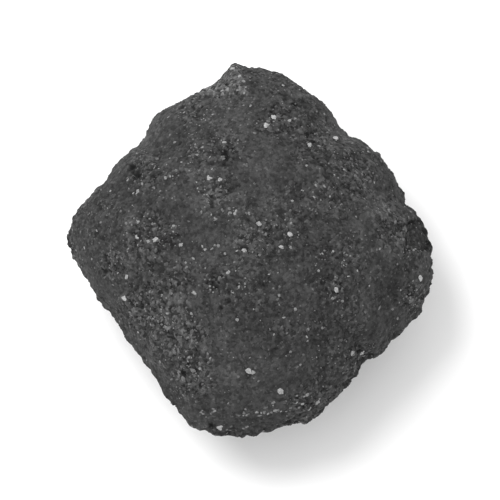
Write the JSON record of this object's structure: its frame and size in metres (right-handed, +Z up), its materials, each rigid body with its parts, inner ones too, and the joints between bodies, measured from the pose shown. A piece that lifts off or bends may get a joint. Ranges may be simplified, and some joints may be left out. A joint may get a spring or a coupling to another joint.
{
  "type": "charcoal briquette",
  "caption": "Pillow-shaped charcoal briquette for a grill: a rounded square of pressed char with two domed faces that meet in a thin ragged seam.",
  "frame": {"origin": "centre of the footprint, on the surface that the briquette lies on", "axes": "+X across the longer way of the pillow, +Y across the shorter way, +Z up through its thickness"},
  "size_m": [0.052, 0.05, 0.028],
  "materials": {
    "charcoal": "matt dark grey pressed char with a fine sandy grain, small pits and pale mineral specks"
  },
  "bodies": {
    "root": {"briquette": "charcoal"}
  },
  "joints": []
}
